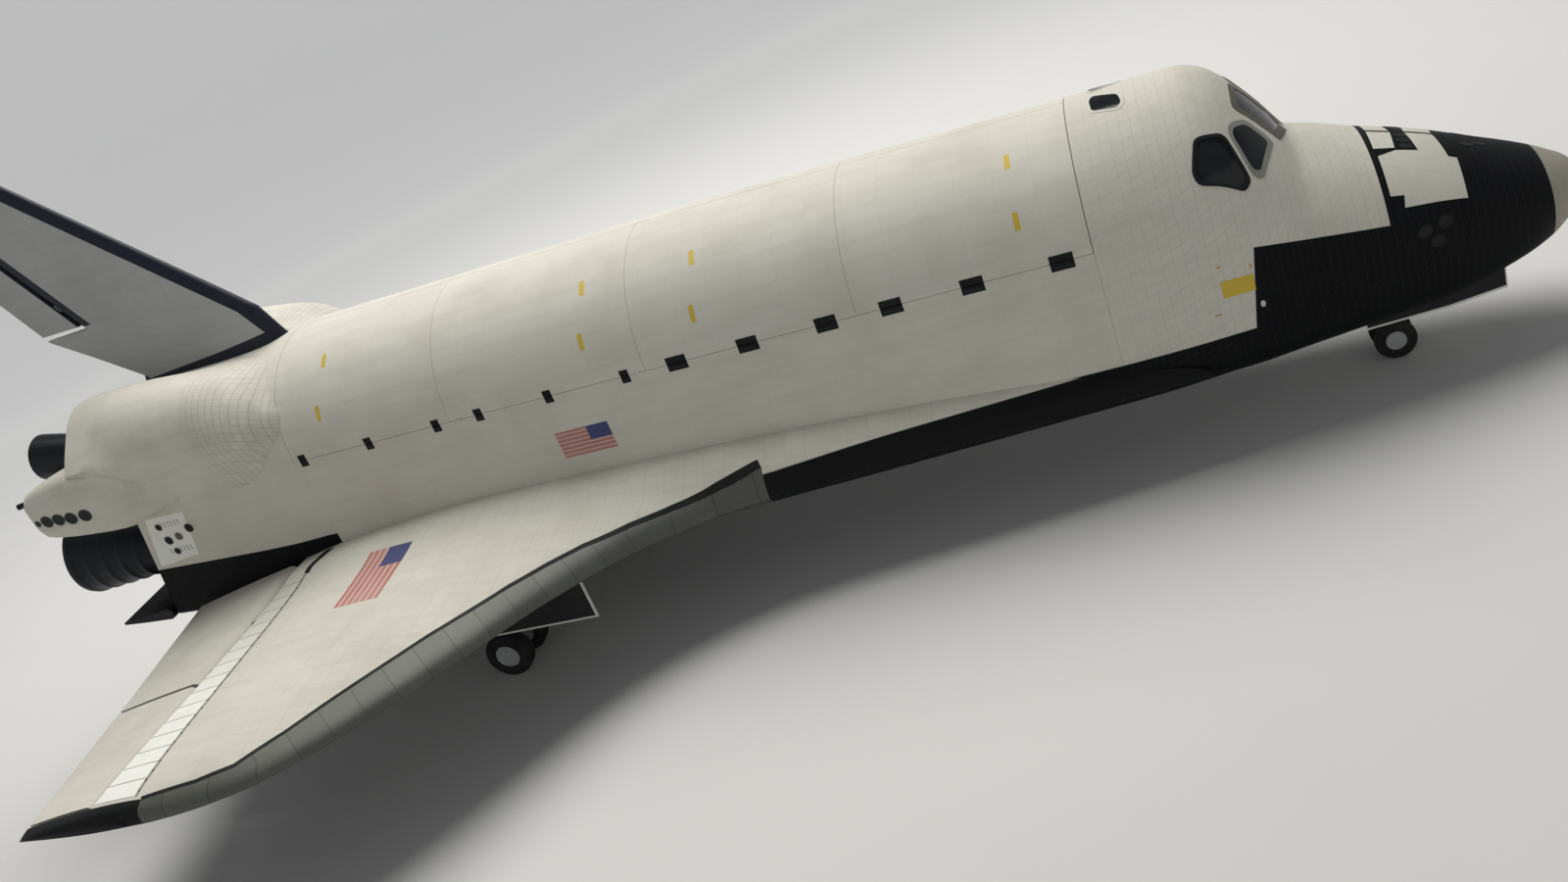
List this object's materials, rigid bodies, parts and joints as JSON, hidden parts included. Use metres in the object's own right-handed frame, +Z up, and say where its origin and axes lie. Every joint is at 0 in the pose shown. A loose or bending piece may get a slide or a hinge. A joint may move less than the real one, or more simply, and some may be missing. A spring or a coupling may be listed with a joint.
{
  "type": "space shuttle orbiter",
  "caption": "Delta-winged spaceplane scale model on its landing gear, with opening load bay doors, tail engines, elevons, split rudder and turning wheels.",
  "frame": {"origin": "under the middle of the model, on the ground plane of its wheels", "axes": "+X towards the nose, +Y to port, +Z up"},
  "size_m": [6.233, 3.7126, 2.8841],
  "materials": {
    "white_tile": "matt cream-white tile and blanket finish",
    "grey_tile": "matt light grey",
    "dark_tile": "matt black tile",
    "nose_grey": "matt grey",
    "carbon_grey": "matt grey panels",
    "dark_glass": "glossy black panes",
    "dark_metal": "dark paint",
    "nozzle_dark": "satin black metal",
    "radiator_silver": "bright silver",
    "gear_metal": "light grey paint",
    "tyre": "black rubber"
  },
  "bodies": {
    "airframe": {"nose_cap": "nose_grey", "forward_fuselage": "white_tile", "windshield": "dark_glass", "mid_fuselage": "white_tile", "aft_fuselage": "white_tile", "wing_left": "white_tile", "wing_right": "white_tile", "leading_edge_left": "carbon_grey", "leading_edge_right": "carbon_grey", "vertical_fin": "grey_tile", "oms_pod_left": "white_tile", "oms_pod_right": "white_tile", "main_engine_upper": "nozzle_dark", "main_engine_left": "nozzle_dark", "main_engine_right": "nozzle_dark", "base_heat_shield": "dark_tile", "oms_nozzle_left": "nozzle_dark", "oms_nozzle_right": "nozzle_dark", "nose_gear_leg": "gear_metal", "nose_gear_door_left": "dark_tile", "nose_gear_door_right": "dark_tile", "main_gear_leg_left": "gear_metal", "main_gear_leg_right": "gear_metal", "main_gear_door_left": "dark_tile", "main_gear_door_right": "dark_tile", "attach_fitting_front": "gear_metal", "attach_fitting_left": "gear_metal", "attach_fitting_right": "gear_metal"},
    "payload_door_left": {"payload_door_left": "white_tile", "radiator_left": "radiator_silver"},
    "payload_door_right": {"payload_door_right": "white_tile", "radiator_right": "radiator_silver"},
    "elevon_inboard_left": {"elevon_inboard_left": "white_tile"},
    "elevon_outboard_left": {"elevon_outboard_left": "white_tile"},
    "elevon_inboard_right": {"elevon_inboard_right": "white_tile"},
    "elevon_outboard_right": {"elevon_outboard_right": "white_tile"},
    "body_flap": {"body_flap": "dark_tile"},
    "rudder": {"rudder_core": "dark_metal"},
    "speed_brake_left": {"speed_brake_left": "grey_tile"},
    "speed_brake_right": {"speed_brake_right": "grey_tile"},
    "nose_gear_steering": {"nose_gear_steering": "gear_metal"},
    "nose_wheels": {"nose_tyre_left": "tyre", "nose_tyre_right": "tyre", "nose_wheel_hubs": "gear_metal"},
    "main_wheels_left": {"main_tyre_inner_left": "tyre", "main_tyre_outer_left": "tyre", "main_wheel_hubs_left": "gear_metal"},
    "main_wheels_right": {"main_tyre_inner_right": "tyre", "main_tyre_outer_right": "tyre", "main_wheel_hubs_right": "gear_metal"}
  },
  "joints": [
    {"name": "payload_door_left_hinge", "type": "hinge", "parent": "airframe", "child": "payload_door_left", "pos_m": [0.15351, 0.44027, 0.94225], "axis": [-0.9981, 0, 0.061], "range_deg": [0, 150]},
    {"name": "payload_door_right_hinge", "type": "hinge", "parent": "airframe", "child": "payload_door_right", "pos_m": [0.15351, -0.44027, 0.94225], "axis": [0.9981, 0, -0.061], "range_deg": [0, 150]},
    {"name": "elevon_inboard_left_hinge", "type": "hinge", "parent": "airframe", "child": "elevon_inboard_left", "pos_m": [-1.71811, 0.49318, 0.57526], "axis": [0, 1, 0.0006], "range_deg": [-20, 35]},
    {"name": "elevon_outboard_left_hinge", "type": "hinge", "parent": "airframe", "child": "elevon_outboard_left", "pos_m": [-1.71807, 1.21497, 0.576], "axis": [0.0008, 0.9999, 0.0132], "range_deg": [-20, 35]},
    {"name": "elevon_inboard_right_hinge", "type": "hinge", "parent": "airframe", "child": "elevon_inboard_right", "pos_m": [-1.71811, -0.49318, 0.57526], "axis": [0, 1, -0.0006], "range_deg": [-20, 35]},
    {"name": "elevon_outboard_right_hinge", "type": "hinge", "parent": "airframe", "child": "elevon_outboard_right", "pos_m": [-1.71807, -1.21497, 0.576], "axis": [-0.0008, 0.9999, -0.0132], "range_deg": [-20, 35]},
    {"name": "body_flap_hinge", "type": "hinge", "parent": "airframe", "child": "body_flap", "pos_m": [-2.43389, 0, 0.59155], "axis": [0, 1, 0], "range_deg": [-22, 11]},
    {"name": "rudder_hinge", "type": "hinge", "parent": "airframe", "child": "rudder", "pos_m": [-2.36854, 0, 1.77934], "axis": [-0.4575, 0, 0.8892], "range_deg": [-27, 27]},
    {"name": "speed_brake_left_hinge", "type": "hinge", "parent": "rudder", "child": "speed_brake_left", "pos_m": [-2.38206, 0.02677, 1.78017], "axis": [0.4575, 0.0026, -0.8892], "range_deg": [0, 43]},
    {"name": "speed_brake_right_hinge", "type": "hinge", "parent": "rudder", "child": "speed_brake_right", "pos_m": [-2.38206, -0.02677, 1.78017], "axis": [-0.4575, 0.0026, 0.8892], "range_deg": [0, 43]},
    {"name": "nose_gear_steering_pivot", "type": "hinge", "parent": "airframe", "child": "nose_gear_steering", "pos_m": [2.50247, 0, 0.09877], "axis": [0.0611, 0, 0.9981], "range_deg": [-10, 10]},
    {"name": "nose_wheels_axle", "type": "hinge", "parent": "nose_gear_steering", "child": "nose_wheels", "pos_m": [2.50057, 0, 0.06773], "axis": [0, 1, 0], "continuous": true},
    {"name": "main_wheels_left_axle", "type": "hinge", "parent": "airframe", "child": "main_wheels_left", "pos_m": [-0.8696, 0.58208, 0.09419], "axis": [0, 1, 0], "continuous": true},
    {"name": "main_wheels_right_axle", "type": "hinge", "parent": "airframe", "child": "main_wheels_right", "pos_m": [-0.8696, -0.58208, 0.09419], "axis": [0, 1, 0], "continuous": true}
  ]
}
